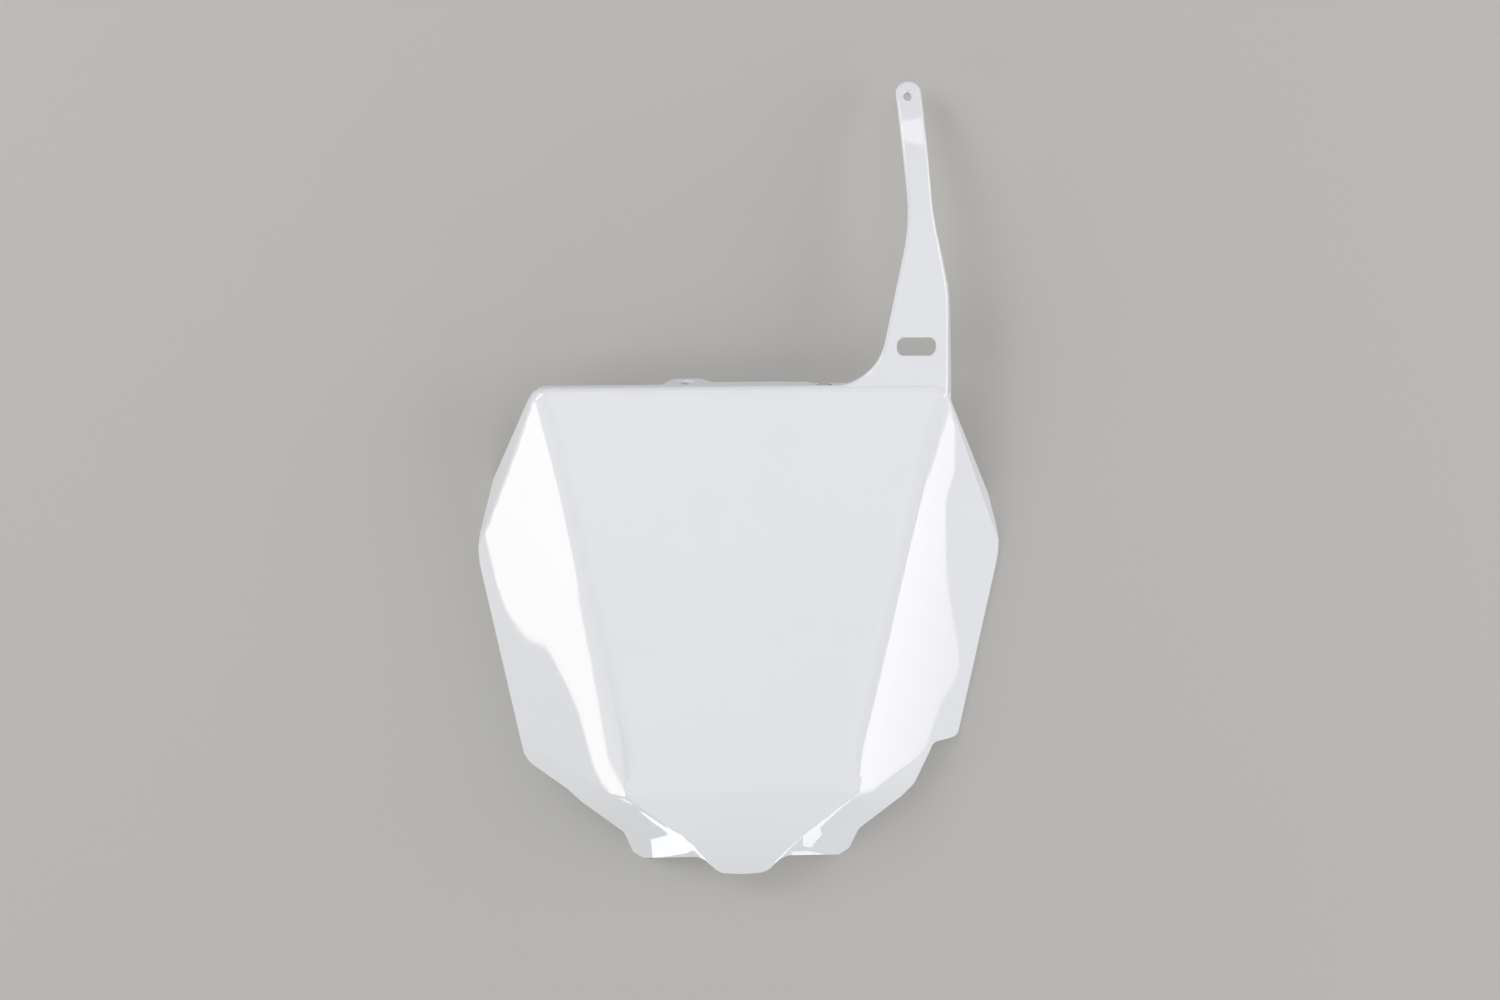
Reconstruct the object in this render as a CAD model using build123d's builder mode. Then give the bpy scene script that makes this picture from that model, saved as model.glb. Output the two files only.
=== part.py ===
from build123d import *
import os
from math import asin, cos, degrees, radians, sin, sqrt

# Racing number board: one white plastic moulding that lies here on its rim with the number face up.
# X runs across the board, Y up the board towards the strap, Z out of the number face.
# Sizes are in millimetres. Across the board they are distances from the centre line, and along it they
# are distances down from the face's top edge, or up from it for the strap.

# Walls and overall sizes
WALL = 2.4
FACE_HEIGHT = 32.0  # number face above the plane that the rim rests on
BOARD_LENGTH = 235.0  # top edge of the face down to the end of the tongue
STRAP_REACH = 134.0  # top edge of the face up to the end of the strap

# Number face: flat between two creases that close in downwards, rolled back at its lower end
CREASE_TOP_X = 93.0
CREASE_LOW_X = 53.0
CREASE_LOW_Y = 193.0
ROLL_START = 183.0
ROLL_RADIUS = 110.0

# Wings: slope at the crease, the large radius that bows them, and their outer corners
WING_ANGLE = 28.5
WING_BOW = 300.0
WIDEST_X = 122.4
WIDEST_Y = 79.5
WIDEST_RADIUS = 45.0
LOWER_CORNER_X = 102.0
LOWER_CORNER_Y = 183.0
LOWER_CORNER_RADIUS = 12.0

# Skirts below the face: the lower end of their crease, their hem, and the foot that each one ends in
SKIRT_END_X = 21.5
SKIRT_END_Y = 222.0
HEM_X = 82.0
HEM_Y = 194.8
HEM_RADIUS = 9.0
ANKLE_X = 55.8
ANKLE_Y = 216.8
ANKLE_RADIUS = 6.0
FOOT_X = 50.6
FOOT_Y = 234.2
FOOT_RADIUS = 2.5
FOOT_FLAT = 3.0  # height cut off each foot's point, so that it stands flat

# Folds that carry the skirts on along the wings' lower edges: both ends on the wing, and the hem's own corner
FOLD_X = 62.0
FOLD_Y = 191.9
FOLD_HEIGHT = 27.0
FOLD_END_X = 101.0
FOLD_END_Y = 176.0
FOLD_END_HEIGHT = 3.2
HEM_HEIGHT = 9.4

# Tongue between the feet
TONGUE_END_X = 11.2
TONGUE_ROOT_X = 19.6
TONGUE_ROOT_Y = 224.2
TONGUE_RADIUS = 5.0

# Notch in the right wing's lower corner
NOTCH_X = 90.7
NOTCH_Y = 174.0
NOTCH_MOUTH_X = 103.2
NOTCH_RADIUS = 3.0
NOTCH_MOUTH_RADIUS = 3.5

# Top flange and side lips, which stiffen the upper edges
FLANGE_DEPTH = 7.0
FLANGE_DRAFT = 6.0
LIP_TOP_X = CREASE_TOP_X - 1.3
LIP_LOW_X = WIDEST_X - 9.7  # at the level of the face, beside the widest point
LIP_START_Y = 4.0  # where the left lip's lower edge leaves the flange's
LIP_END_Y = 47.0  # where it comes down to the resting plane
RIM_TOP_X = CREASE_TOP_X + 8.0  # plan outline beside the top edge, clear of the lips
RIGHT_LIP_DEPTH = 1.0  # at the corner, where the strap takes the lip's place
RIGHT_LIP_END_Y = 56.0
RIGHT_LIP_X = 72.0

# Bolt tab and the deeper part of the flange beside it
TAB_X = -23.8
TAB_WIDTH = 23.0
TAB_END_WIDTH = 13.0
TAB_DEPTH = 17.0
TAB_CORNER_RADIUS = 4.5
TAB_ROOT_RADIUS = 3.5
TAB_HOLE = 6.2
TAB_HOLE_DEPTH = 10.2
DEEP_FLANGE_DEPTH = 10.6
DEEP_FLANGE_X = 21.0
END_FLANGE_DEPTH = 9.8
END_FLANGE_X = 31.0
FLANGE_END_X = 36.0

# Strap: a thicker strip just below the face's level, bent back towards its end
STRAP_WALL = 3.0
STRAP_DROP = 1.2
STRAP_ROOT_X = 40.0
STRAP_NECK_X = 61.0
STRAP_NECK_RADIUS = 24.0
STRAP_WAIST_X = 75.6
STRAP_SHOULDER_X = 85.8
STRAP_SHOULDER_Y = 78.0
STRAP_RIGHT_X = CREASE_TOP_X + 0.6
STRAP_HIP_X = STRAP_RIGHT_X - 0.5
STRAP_HIP_Y = 42.0
STRAP_SIDE_RADIUS = 90.0
STRAP_BEND = 72.0
STRAP_BEND_RADIUS = 130.0
STRAP_EDGE_RADIUS = 1.4
STRAP_END_X = 75.4
STRAP_END_WIDTH = 11.4
STRAP_END_RADIUS = 5.2
STRAP_HOLE = 3.6
STRAP_SINK = 5.2
STRAP_HOLE_Y = STRAP_REACH - 6.0

# Slot in the root of the strap, and the flared lip along the strap's right edge
SLOT_X = 79.0
SLOT_Y = 17.4
SLOT_LENGTH = 17.6
SLOT_WIDTH = 8.2
SLOT_RADIUS = 3.4
STRAP_LIP_DEPTH = 4.5
STRAP_LIP_END = 66.0
STRAP_LIP_FLARE = 20.0

# Rounded bends
CREASE_RADIUS = 5.0
EDGE_RADIUS = 3.2
CORNER_RADIUS = 9.0

SPARE = 12.0  # how far cutting shapes run past what they cut
BOW_OVERRUN = 5.0  # degrees of the wing's arc above the face
ROOF_RISE = 0.45  # the face, wings and skirts face upwards by more than this part
WALL_RISE = 0.05  # the flange and lips face upwards by more than this, and the cut edges by less
TOP_Y = (BOARD_LENGTH - STRAP_REACH) / 2
PLAN = Plane((0, TOP_Y, 0))
SIDE = Plane(origin=(0, TOP_Y, 0), x_dir=(0, 1, 0), z_dir=(1, 0, 0))


def place(x, down, height):
    """Point in the board's frame from its distance across, its distance down the board and its height."""
    return Vector(x, TOP_Y - down, height)


def roll_drop(down):
    """How far the rolled lower end lies below the flat face."""
    run = max(down - ROLL_START, 0)
    return ROLL_RADIUS - sqrt(ROLL_RADIUS**2 - run**2)


def plane_through(a, b, c):
    """Plane through three points, facing up."""
    normal = (b - a).cross(c - a)
    return Plane(origin=a, z_dir=normal if normal.Z > 0 else -normal)


def skirt_plane(side):
    return plane_through(
        place(side * CREASE_LOW_X, CREASE_LOW_Y, FACE_HEIGHT - roll_drop(CREASE_LOW_Y)),
        place(side * SKIRT_END_X, SKIRT_END_Y, FACE_HEIGHT - roll_drop(SKIRT_END_Y)),
        place(side * FOOT_X, FOOT_Y, -FOOT_FLAT),
    )


def fold_plane(side):
    return plane_through(
        place(side * FOLD_X, FOLD_Y, FOLD_HEIGHT),
        place(side * FOLD_END_X, FOLD_END_Y, FOLD_END_HEIGHT),
        place(side * HEM_X, HEM_Y, HEM_HEIGHT),
    )


def lip_plane(side):
    return plane_through(
        place(side * LIP_TOP_X, 0, FACE_HEIGHT),
        place(side * LIP_LOW_X, WIDEST_Y, FACE_HEIGHT),
        place(side * WIDEST_X, WIDEST_Y, 0),
    )


def flange_plane():
    """Outer face of the top flange: its X runs across the board and its Y runs down the flange."""
    draft = radians(FLANGE_DRAFT)
    return Plane(origin=place(0, 0, FACE_HEIGHT), x_dir=(1, 0, 0), z_dir=(0, cos(draft), sin(draft)))


def wing_plane(side):
    """Plane square to a wing's crease: its X points outwards and its Y points up."""
    crease = place(side * CREASE_LOW_X, CREASE_LOW_Y, 0) - place(side * CREASE_TOP_X, 0, 0)
    outward = crease.cross(Vector(0, 0, -side)).normalized()
    origin = place(side * CREASE_TOP_X, 0, FACE_HEIGHT)
    return Plane(origin=origin, x_dir=outward, z_dir=outward.cross(Vector(0, 0, 1)))


def is_wall(face):
    return WALL_RISE < face.normal_at().Z < ROOF_RISE


def is_roof(face):
    return face.normal_at().Z > ROOF_RISE


def shared_edges(part, faces, others):
    """Edges of the part that lie between one of the faces and a different one of the others."""
    first = [set(face.edges()) for face in faces]
    second = [set(face.edges()) for face in others]
    return part.edges().filter_by(
        lambda edge: any(edge in a and edge in b for a in first for b in second if a != b)
    )


def board_form(inset):
    """Solid under the board's outer skin, with every wall moved in by inset."""
    roll_angle = degrees(asin((BOARD_LENGTH + SPARE - ROLL_START) / ROLL_RADIUS))
    bow_axis = Vector(0, -WING_BOW).rotate(Axis.Z, -WING_ANGLE)
    bow_start = 90 - WING_ANGLE + BOW_OVERRUN
    bow_end = degrees(asin(cos(radians(WING_ANGLE)) - (FACE_HEIGHT + 2 * SPARE) / WING_BOW))
    with BuildPart() as form:
        with BuildSketch(SIDE):
            with BuildLine():
                roll = CenterArc((-ROLL_START, FACE_HEIGHT - ROLL_RADIUS), ROLL_RADIUS - inset, 90, roll_angle)
                Polyline(
                    roll @ 0,
                    (SPARE, FACE_HEIGHT - inset),
                    (SPARE, -SPARE - inset),
                    ((roll @ 1).X, -SPARE - inset),
                    roll @ 1,
                )
            make_face()
        extrude(amount=WIDEST_X + SPARE, both=True)
        for side in (-1, 1):
            with BuildSketch(wing_plane(side)):
                with BuildLine():
                    wing = CenterArc(bow_axis, WING_BOW - inset, bow_start, bow_end - bow_start)
                    Polyline(
                        wing @ 1,
                        (WIDEST_X, (wing @ 1).Y),
                        (WIDEST_X, FACE_HEIGHT),
                        ((wing @ 0).X, FACE_HEIGHT),
                        wing @ 0,
                    )
                make_face()
            extrude(amount=2 * BOARD_LENGTH, both=True, mode=Mode.SUBTRACT)
        sides = [plane(side) for plane in (lip_plane, skirt_plane, fold_plane) for side in (-1, 1)]
        for wall in (flange_plane(), *sides):
            split(bisect_by=wall.offset(-inset), keep=Keep.BOTTOM)

        walls = form.faces().filter_by(is_wall)
        fillet(shared_edges(form, walls, walls), CORNER_RADIUS - inset)
        roof = form.faces().filter_by(is_roof)
        fillet(shared_edges(form, roof, roof).filter_by(Axis.X, reverse=True), CREASE_RADIUS - inset)
        roof = form.faces().filter_by(is_roof)
        walls = form.faces().filter_by(is_wall)
        fillet(shared_edges(form, roof, walls), EDGE_RADIUS - inset)
    return form.part


def strap_face(shift):
    """Plan of the strap, from inside the board's top corner to its rounded end, moved across by shift."""
    corners = [
        (STRAP_ROOT_X, -SPARE, 0),
        (STRAP_ROOT_X, 0, 0),
        (STRAP_NECK_X, 0, STRAP_NECK_RADIUS),
        (STRAP_WAIST_X, STRAP_BEND, STRAP_SIDE_RADIUS),
        (STRAP_END_X - STRAP_END_WIDTH / 2, STRAP_REACH, STRAP_END_RADIUS),
        (STRAP_END_X + STRAP_END_WIDTH / 2, STRAP_REACH, STRAP_END_RADIUS),
        (STRAP_SHOULDER_X, STRAP_SHOULDER_Y, STRAP_SIDE_RADIUS),
        (STRAP_HIP_X, STRAP_HIP_Y, STRAP_SIDE_RADIUS),
        (STRAP_RIGHT_X, 0, STRAP_SIDE_RADIUS),
        (STRAP_RIGHT_X, -SPARE, 0),
    ]
    with BuildSketch() as plan:
        with BuildLine():
            FilletPolyline(
                *[(x + shift, up) for x, up, radius in corners],
                radius=[radius for x, up, radius in corners],
                close=True,
            )
        make_face()
    return plan.sketch


def rim_corners():
    """Corners of the board's plan: across, down and corner radius, with the notch on the right only."""
    lower = [
        (TONGUE_END_X, BOARD_LENGTH, TONGUE_RADIUS),
        (TONGUE_ROOT_X, TONGUE_ROOT_Y, TONGUE_RADIUS),
        (FOOT_X, FOOT_Y, FOOT_RADIUS),
        (ANKLE_X, ANKLE_Y, ANKLE_RADIUS),
        (HEM_X, HEM_Y, HEM_RADIUS),
    ]
    notch = [(NOTCH_X, NOTCH_Y, NOTCH_RADIUS), (NOTCH_MOUTH_X, NOTCH_Y, NOTCH_MOUTH_RADIUS)]
    corner = [(LOWER_CORNER_X, LOWER_CORNER_Y, LOWER_CORNER_RADIUS)]
    upper = [(WIDEST_X, WIDEST_Y, WIDEST_RADIUS), (RIM_TOP_X, 0, 0), (RIM_TOP_X, -SPARE, 0)]
    left = [(-x, down, radius) for x, down, radius in lower + corner + upper]
    return lower + notch + upper + left[::-1]


hollow = board_form(WALL)
strap_top = FACE_HEIGHT - STRAP_DROP
strap_under = strap_top - STRAP_WALL

with BuildPart() as strap_lip:
    # Flared lip along the strap's right edge, running out towards the bend
    with BuildSketch(PLAN.offset(strap_top - STRAP_EDGE_RADIUS)):
        add(strap_face(0))
        add(strap_face(-WALL), mode=Mode.SUBTRACT)
    flare = radians(STRAP_LIP_FLARE)
    extrude(amount=FACE_HEIGHT, dir=(sin(flare), 0, -cos(flare)))
    with BuildSketch(SIDE):
        Polygon(
            (STRAP_LIP_END, strap_top),
            (-SPARE, strap_top),
            (-SPARE, strap_under - STRAP_LIP_DEPTH),
            (0, strap_under - STRAP_LIP_DEPTH),
            (STRAP_LIP_END, strap_under),
            align=None,
        )
    extrude(amount=WIDEST_X, mode=Mode.INTERSECT)

with BuildPart() as strap:
    # Flat strip that bends back, cut to its plan
    with BuildSketch(PLAN):
        add(strap_face(0))
    extrude(amount=FACE_HEIGHT)
    with BuildSketch(SIDE):
        with BuildLine():
            bend_angle = degrees(asin((STRAP_REACH + SPARE - STRAP_BEND) / STRAP_BEND_RADIUS))
            bend_centre = (STRAP_BEND, strap_top - STRAP_BEND_RADIUS)
            top_bend = CenterArc(bend_centre, STRAP_BEND_RADIUS, 90, -bend_angle)
            under_bend = CenterArc(bend_centre, STRAP_BEND_RADIUS - STRAP_WALL, 90, -bend_angle)
            Line(top_bend @ 1, under_bend @ 1)
            Polyline(top_bend @ 0, (-SPARE, strap_top), (-SPARE, strap_under), under_bend @ 0)
        make_face()
    extrude(amount=WIDEST_X, both=True, mode=Mode.INTERSECT)
    top_edges = strap.faces().filter_by(is_roof).edges().filter_by(GeomType.CIRCLE)
    fillet(top_edges, STRAP_EDGE_RADIUS)
    add(strap_lip.part)

    # Slot in its root and the hole at its end
    with BuildSketch(PLAN.offset(FACE_HEIGHT)):
        with Locations((SLOT_X, SLOT_Y)):
            RectangleRounded(SLOT_LENGTH, SLOT_WIDTH, SLOT_RADIUS)
    extrude(amount=-FACE_HEIGHT, mode=Mode.SUBTRACT)
    end_angle = asin((STRAP_HOLE_Y - STRAP_BEND) / STRAP_BEND_RADIUS)
    hole_plane = Plane(
        origin=place(STRAP_END_X, -STRAP_HOLE_Y, strap_top - STRAP_BEND_RADIUS * (1 - cos(end_angle))),
        x_dir=(1, 0, 0),
        z_dir=(0, sin(end_angle), cos(end_angle)),
    )
    with Locations(hole_plane):
        CounterSinkHole(radius=STRAP_HOLE / 2, counter_sink_radius=STRAP_SINK / 2, depth=SPARE)
    add(hollow, mode=Mode.SUBTRACT)

with BuildPart() as number_board:
    # Shell of the face, wings and skirts
    add(board_form(0))
    add(hollow, mode=Mode.SUBTRACT)

    # Rim, cut to the plan
    with BuildSketch(PLAN):
        with BuildLine():
            FilletPolyline(
                *[(x, -down) for x, down, radius in rim_corners()],
                radius=[radius for x, down, radius in rim_corners()],
                close=True,
            )
        make_face()
    extrude(amount=FACE_HEIGHT + SPARE, mode=Mode.INTERSECT)

    # Lower edges of the flange and lips, down to the resting plane
    with BuildSketch(SIDE):
        Polygon(
            (SPARE, FACE_HEIGHT + SPARE),
            (SPARE, FACE_HEIGHT - FLANGE_DEPTH),
            (-LIP_START_Y, FACE_HEIGHT - FLANGE_DEPTH),
            (-LIP_END_Y, 0),
            (-BOARD_LENGTH - SPARE, 0),
            (-BOARD_LENGTH - SPARE, FACE_HEIGHT + SPARE),
            align=None,
        )
    extrude(amount=WIDEST_X + SPARE, both=True, mode=Mode.INTERSECT)
    with BuildSketch(SIDE.offset(RIGHT_LIP_X)):
        Polygon(
            (SPARE, 0),
            (SPARE, FACE_HEIGHT - RIGHT_LIP_DEPTH),
            (0, FACE_HEIGHT - RIGHT_LIP_DEPTH),
            (-RIGHT_LIP_END_Y, 0),
            align=None,
        )
    extrude(amount=WIDEST_X, mode=Mode.SUBTRACT)

    # Gap in the flange beside the strap
    with BuildSketch(flange_plane()):
        Polygon(
            (FLANGE_END_X, EDGE_RADIUS),
            (STRAP_ROOT_X, EDGE_RADIUS),
            (STRAP_ROOT_X, 2 * FLANGE_DEPTH),
            (FLANGE_END_X, 2 * FLANGE_DEPTH),
            align=None,
        )
    extrude(amount=-2 * WALL, mode=Mode.SUBTRACT)

    # Bolt tab, and the deeper flange that runs from it towards the strap
    with BuildSketch(flange_plane()):
        with BuildLine():
            FilletPolyline(
                (TAB_X - TAB_WIDTH, EDGE_RADIUS),
                (TAB_X - TAB_WIDTH, FLANGE_DEPTH),
                (TAB_X - TAB_WIDTH / 2, FLANGE_DEPTH),
                (TAB_X - TAB_END_WIDTH / 2, TAB_DEPTH),
                (TAB_X + TAB_END_WIDTH / 2, TAB_DEPTH),
                (TAB_X + TAB_WIDTH / 2, DEEP_FLANGE_DEPTH),
                (DEEP_FLANGE_X, DEEP_FLANGE_DEPTH),
                (DEEP_FLANGE_X, END_FLANGE_DEPTH),
                (END_FLANGE_X, END_FLANGE_DEPTH),
                (FLANGE_END_X, EDGE_RADIUS),
                radius=[
                    0,
                    0,
                    TAB_ROOT_RADIUS,
                    TAB_CORNER_RADIUS,
                    TAB_CORNER_RADIUS,
                    TAB_ROOT_RADIUS,
                    0,
                    0,
                    TAB_ROOT_RADIUS,
                    0,
                ],
                close=True,
            )
        make_face()
        with Locations((TAB_X, TAB_HOLE_DEPTH)):
            Circle(TAB_HOLE / 2, mode=Mode.SUBTRACT)
    extrude(amount=-WALL)

    add(strap.part)

os.makedirs("parts", exist_ok=True)
number_board.part.label = "number_board"
export_step(number_board.part, "parts/number_board.step")
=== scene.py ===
# %% [markdown]
# # A white racing number board
# The board is one gloss white moulding: a flat number face, two wings that bend back from it, a short
# skirt with two feet and a tongue below, and a long strap above. It lies on its rim, face up, and the
# camera looks down on it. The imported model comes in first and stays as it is. Blender's lengths are
# metres, in the same frame: X across the board, Y up towards the strap, Z out of the number face.

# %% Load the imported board
from math import cos, radians, sin

import bmesh
import bpy
import numpy as np
from mathutils import Matrix, Vector


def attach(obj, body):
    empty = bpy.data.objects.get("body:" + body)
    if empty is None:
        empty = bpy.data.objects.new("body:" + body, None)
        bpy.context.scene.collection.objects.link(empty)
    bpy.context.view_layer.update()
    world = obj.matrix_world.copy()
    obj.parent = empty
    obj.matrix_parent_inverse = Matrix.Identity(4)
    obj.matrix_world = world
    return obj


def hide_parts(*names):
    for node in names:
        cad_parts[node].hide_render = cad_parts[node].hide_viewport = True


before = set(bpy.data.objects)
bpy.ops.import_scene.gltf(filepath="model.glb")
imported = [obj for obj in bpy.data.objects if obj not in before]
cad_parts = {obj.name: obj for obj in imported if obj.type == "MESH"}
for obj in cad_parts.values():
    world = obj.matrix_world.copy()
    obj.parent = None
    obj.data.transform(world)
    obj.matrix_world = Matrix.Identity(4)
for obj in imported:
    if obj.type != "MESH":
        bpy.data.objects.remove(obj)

scene = bpy.context.scene
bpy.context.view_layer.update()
cad_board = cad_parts["number_board"]

# %% [markdown]
# ## The camera
# The board is seen from above, from some way off and a little from the strap's end, and it is turned by a
# degree or two. A camera could be given turning angles. Here it is placed by its aim and its three axes,
# because a matrix keeps all of that in one place. The 60 mm lens on a 36 mm sensor gives a mild perspective.

# %% Camera
AIM = Vector((0.004, -0.001, 0.032))
CAMERA_DISTANCE = 1.130
CAMERA_PITCH = radians(12.0)
CAMERA_YAW = radians(2.0)
CAMERA_ROLL = radians(0.3)

back = Vector((-sin(CAMERA_YAW) * cos(CAMERA_PITCH), sin(CAMERA_PITCH), cos(CAMERA_YAW) * cos(CAMERA_PITCH)))
level = Vector((0, 1, 0)).cross(back).normalized()
rise = back.cross(level)
right = cos(CAMERA_ROLL) * level - sin(CAMERA_ROLL) * rise
up = sin(CAMERA_ROLL) * level + cos(CAMERA_ROLL) * rise

camera_data = bpy.data.cameras.new("camera")
camera_data.lens = 60.0
camera_data.sensor_width = 36.0
camera = bpy.data.objects.new("camera", camera_data)
scene.collection.objects.link(camera)
turn = Matrix((right, up, back)).transposed().to_4x4()
camera.matrix_world = Matrix.Translation(AIM + CAMERA_DISTANCE * back) @ turn
scene.camera = camera
print("camera at", [round(x, 3) for x in camera.matrix_world.translation])

# %% [markdown]
# ## Softboxes
# A gloss surface shows what stands round it, so the white shapes on this board are the images of soft
# lamps. Area lamps are only rectangles and ellipses. Each softbox is instead a flat panel with an Emission
# shader, which may have any outline, may fade with its height as a real one does, and whose strength is
# simply how bright the panel looks. They are kept out of the camera's sight.

# %% A glowing panel
scene.view_settings.view_transform = "Standard"
print("view transform", scene.view_settings.view_transform)


def faded_colour(tree, low, high, low_tint, tint):
    """Colour that changes with the height, from one tint at low to another at high."""
    place = tree.nodes.new("ShaderNodeSeparateXYZ")
    tree.links.new(tree.nodes.new("ShaderNodeTexCoord").outputs["Object"], place.inputs["Vector"])
    share = tree.nodes.new("ShaderNodeMapRange")
    share.inputs["From Min"].default_value = low
    share.inputs["From Max"].default_value = high
    tree.links.new(place.outputs["Z"], share.inputs["Value"])
    colour = tree.nodes.new("ShaderNodeMix")
    colour.data_type = "RGBA"
    colour.inputs["A"].default_value = (*low_tint, 1)
    colour.inputs["B"].default_value = (*tint, 1)
    tree.links.new(share.outputs["Result"], colour.inputs["Factor"])
    return colour.outputs["Result"]


def softbox(name, corners, brightness, tint=(1.0, 1.0, 1.0), fade=None):
    """Glowing flat panel, in metres. A fade is a height, a higher one and the tint at the first."""
    glow = bpy.data.materials.new(name + "_glow")
    glow.use_nodes = True
    tree = glow.node_tree
    tree.nodes.clear()
    emission = tree.nodes.new("ShaderNodeEmission")
    emission.inputs["Color"].default_value = (*tint, 1)
    emission.inputs["Strength"].default_value = brightness
    if fade:
        tree.links.new(faded_colour(tree, *fade, tint), emission.inputs["Color"])
    output = tree.nodes.new("ShaderNodeOutputMaterial")
    tree.links.new(emission.outputs["Emission"], output.inputs["Surface"])
    mesh = bpy.data.meshes.new(name)
    mesh.from_pydata(corners, [], [range(len(corners))])
    mesh.materials.append(glow)
    panel = bpy.data.objects.new(name, mesh)
    scene.collection.objects.link(panel)
    panel.visible_camera = False
    print(name, "has", len(corners), "corners, brightness", brightness)


# %% [markdown]
# The broad white shapes on the wings are the images of a large lamp on each side. A wing is bowed, so it
# draws the lamp out: the slanted outer edge of the white is the lamp's lower edge, and the edge along the
# crease is its top. A rectangle would give straight bands, so each lamp has an outline of its own, in Y
# and Z, chosen so that its image has the right shape in this view. Both are dimmer near the floor. A dim
# panel above the left lamp keeps the strip beside that crease light, and a panel further back on the right
# adds light from that side.

# %% Side lamps
SIDE_DISTANCE = 1.30
LEFT_TOP_DISTANCE = 1.31
LEFT_OUTLINE = [
    (-0.25, 0.30), (-0.45, 0.20), (-0.59, 0.20), (-0.622, 0.225), (-0.66, 0.31), (-0.681, 0.425),
    (-0.735, 0.505), (-0.775, 0.545), (-0.847, 0.566), (-0.88, 0.612), (-0.935, 0.80), (-0.86, 0.683),
    (-0.66, 0.735), (-0.61, 0.935), (-0.56, 0.97), (-0.45, 0.755), (-0.25, 0.72),
]
RIGHT_OUTLINE = [
    (-0.662, 0.145), (-0.685, 0.145), (-0.715, 0.21), (-0.768, 0.246), (-0.80, 0.343), (-0.876, 0.62),
    (-0.92, 0.80), (-0.93, 1.06), (-0.907, 1.095), (-0.79, 0.93), (-0.71, 0.85), (-0.60, 0.79),
    (-0.49, 0.62), (-0.40, 0.555), (-0.475, 0.45), (-0.509, 0.474), (-0.586, 0.348), (-0.64, 0.195),
]
LEFT_TOP_OUTLINE = [(-1.00, 0.68), (-0.20, 0.68), (-0.20, 1.90), (-1.00, 1.90)]
RIGHT_BACK_OUTLINE = [(-0.25, 0.20), (0.65, 0.20), (0.65, 1.05), (-0.25, 1.05)]
LEFT_TINT = (1.0, 0.957, 0.882)
LEFT_FADE = (0.20, 0.65, (0.85, 0.813, 0.750))
LEFT_TOP_TINT = (0.55, 0.55, 0.55)
LEFT_TOP_FADE = (1.30, 1.90, (1.0, 1.0, 1.0))
RIGHT_TINT = (1.0, 0.938, 0.890)
RIGHT_FADE = (0.20, 0.65, (0.450, 0.425, 0.420))
RIGHT_BACK_TINT = (1.0, 0.965, 0.970)


def upright(x, outline):
    """Corners of a panel that stands at x, from its outline in Y and Z."""
    return [(x, y, z) for y, z in outline]


softbox("left_softbox", upright(-SIDE_DISTANCE, LEFT_OUTLINE), 6.3, LEFT_TINT, LEFT_FADE)
softbox("left_top_softbox", upright(-LEFT_TOP_DISTANCE, LEFT_TOP_OUTLINE), 1.7, LEFT_TOP_TINT, LEFT_TOP_FADE)
softbox("right_softbox", upright(SIDE_DISTANCE, RIGHT_OUTLINE), 5.2, RIGHT_TINT, RIGHT_FADE)
softbox("right_back_softbox", upright(SIDE_DISTANCE, RIGHT_BACK_OUTLINE), 5.3, RIGHT_BACK_TINT)

# %% [markdown]
# Two small lamps in front make the white patches on the feet and the thin lines along the creases above
# them, and a wide, dimmer one at the right lights the right skirt. They could be placed by X, Y and Z. What
# counts is the direction in which the feet see them, so it is done by two angles and a distance.

# %% Front lamps
FEET = Vector((0, -0.170, 0.020))
SMALL_LAMP = (0.15, 0.34, 1.0)  # width, height and distance
WIDE_LAMP = (0.62, 0.45, 1.2)
FRONT_AZIMUTH, CORNER_AZIMUTH, FRONT_ELEVATION = 13, 37, 13


def front_panel(azimuth, elevation, width, height, distance):
    """Corners of a panel in front of the feet, seen from there at these angles in degrees."""
    a, e = radians(azimuth), radians(elevation)
    towards = Vector((sin(a) * cos(e), -cos(a) * cos(e), sin(e)))
    centre = FEET + distance * towards
    across = Vector((0, 0, 1)).cross(towards).normalized() * width / 2
    tall = towards.cross(across).normalized() * height / 2
    return [centre - across - tall, centre + across - tall, centre + across + tall, centre - across + tall]


left_front = front_panel(-FRONT_AZIMUTH, FRONT_ELEVATION, *SMALL_LAMP)
right_front = front_panel(FRONT_AZIMUTH, FRONT_ELEVATION, *SMALL_LAMP)
right_corner = front_panel(CORNER_AZIMUTH, FRONT_ELEVATION, *WIDE_LAMP)
softbox("front_left_softbox", left_front, 6.6)
softbox("front_right_softbox", right_front, 5.1, (1.0, 0.960, 0.990))
softbox("corner_right_softbox", right_corner, 3.5, (0.83, 1.0, 1.0))

# %% [markdown]
# The strap bends back, and the white patch near its end is the image of a lamp that leans over it from
# behind. The steps in that lamp's outline give the patch its uneven lower edge. A lamp at the back left and a
# dim panel overhead, which the flat face mirrors evenly, fill in the rest.

# %% Back and overhead lamps
BACK_OUTLINE = [
    (-0.20, -0.070), (0.150, -0.070), (0.176, -0.110), (0.65, -0.110),
    (0.65, 0.095), (0.178, 0.095), (0.150, 0.035), (-0.20, 0.035),
]
BACK_CENTRE = Vector((0, 0.640, 0.780))
BACK_LEAN = Vector((0, -0.76, 0.65)).normalized()
BACK_LEFT_CENTRE = Vector((-0.95, 0.75, 1.00))
BACK_LEFT_SIDE = 0.7
OVERHEAD = [(-1.3, -1.05, 1.9), (1.1, -1.05, 1.9), (1.1, -0.25, 1.9), (-1.3, -0.25, 1.9)]


def leaning(outline):
    """Corners of the back panel, which leans over the strap, from its outline across and up."""
    return [BACK_CENTRE + Vector((x, 0, 0)) + height * BACK_LEAN for x, height in outline]


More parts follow.
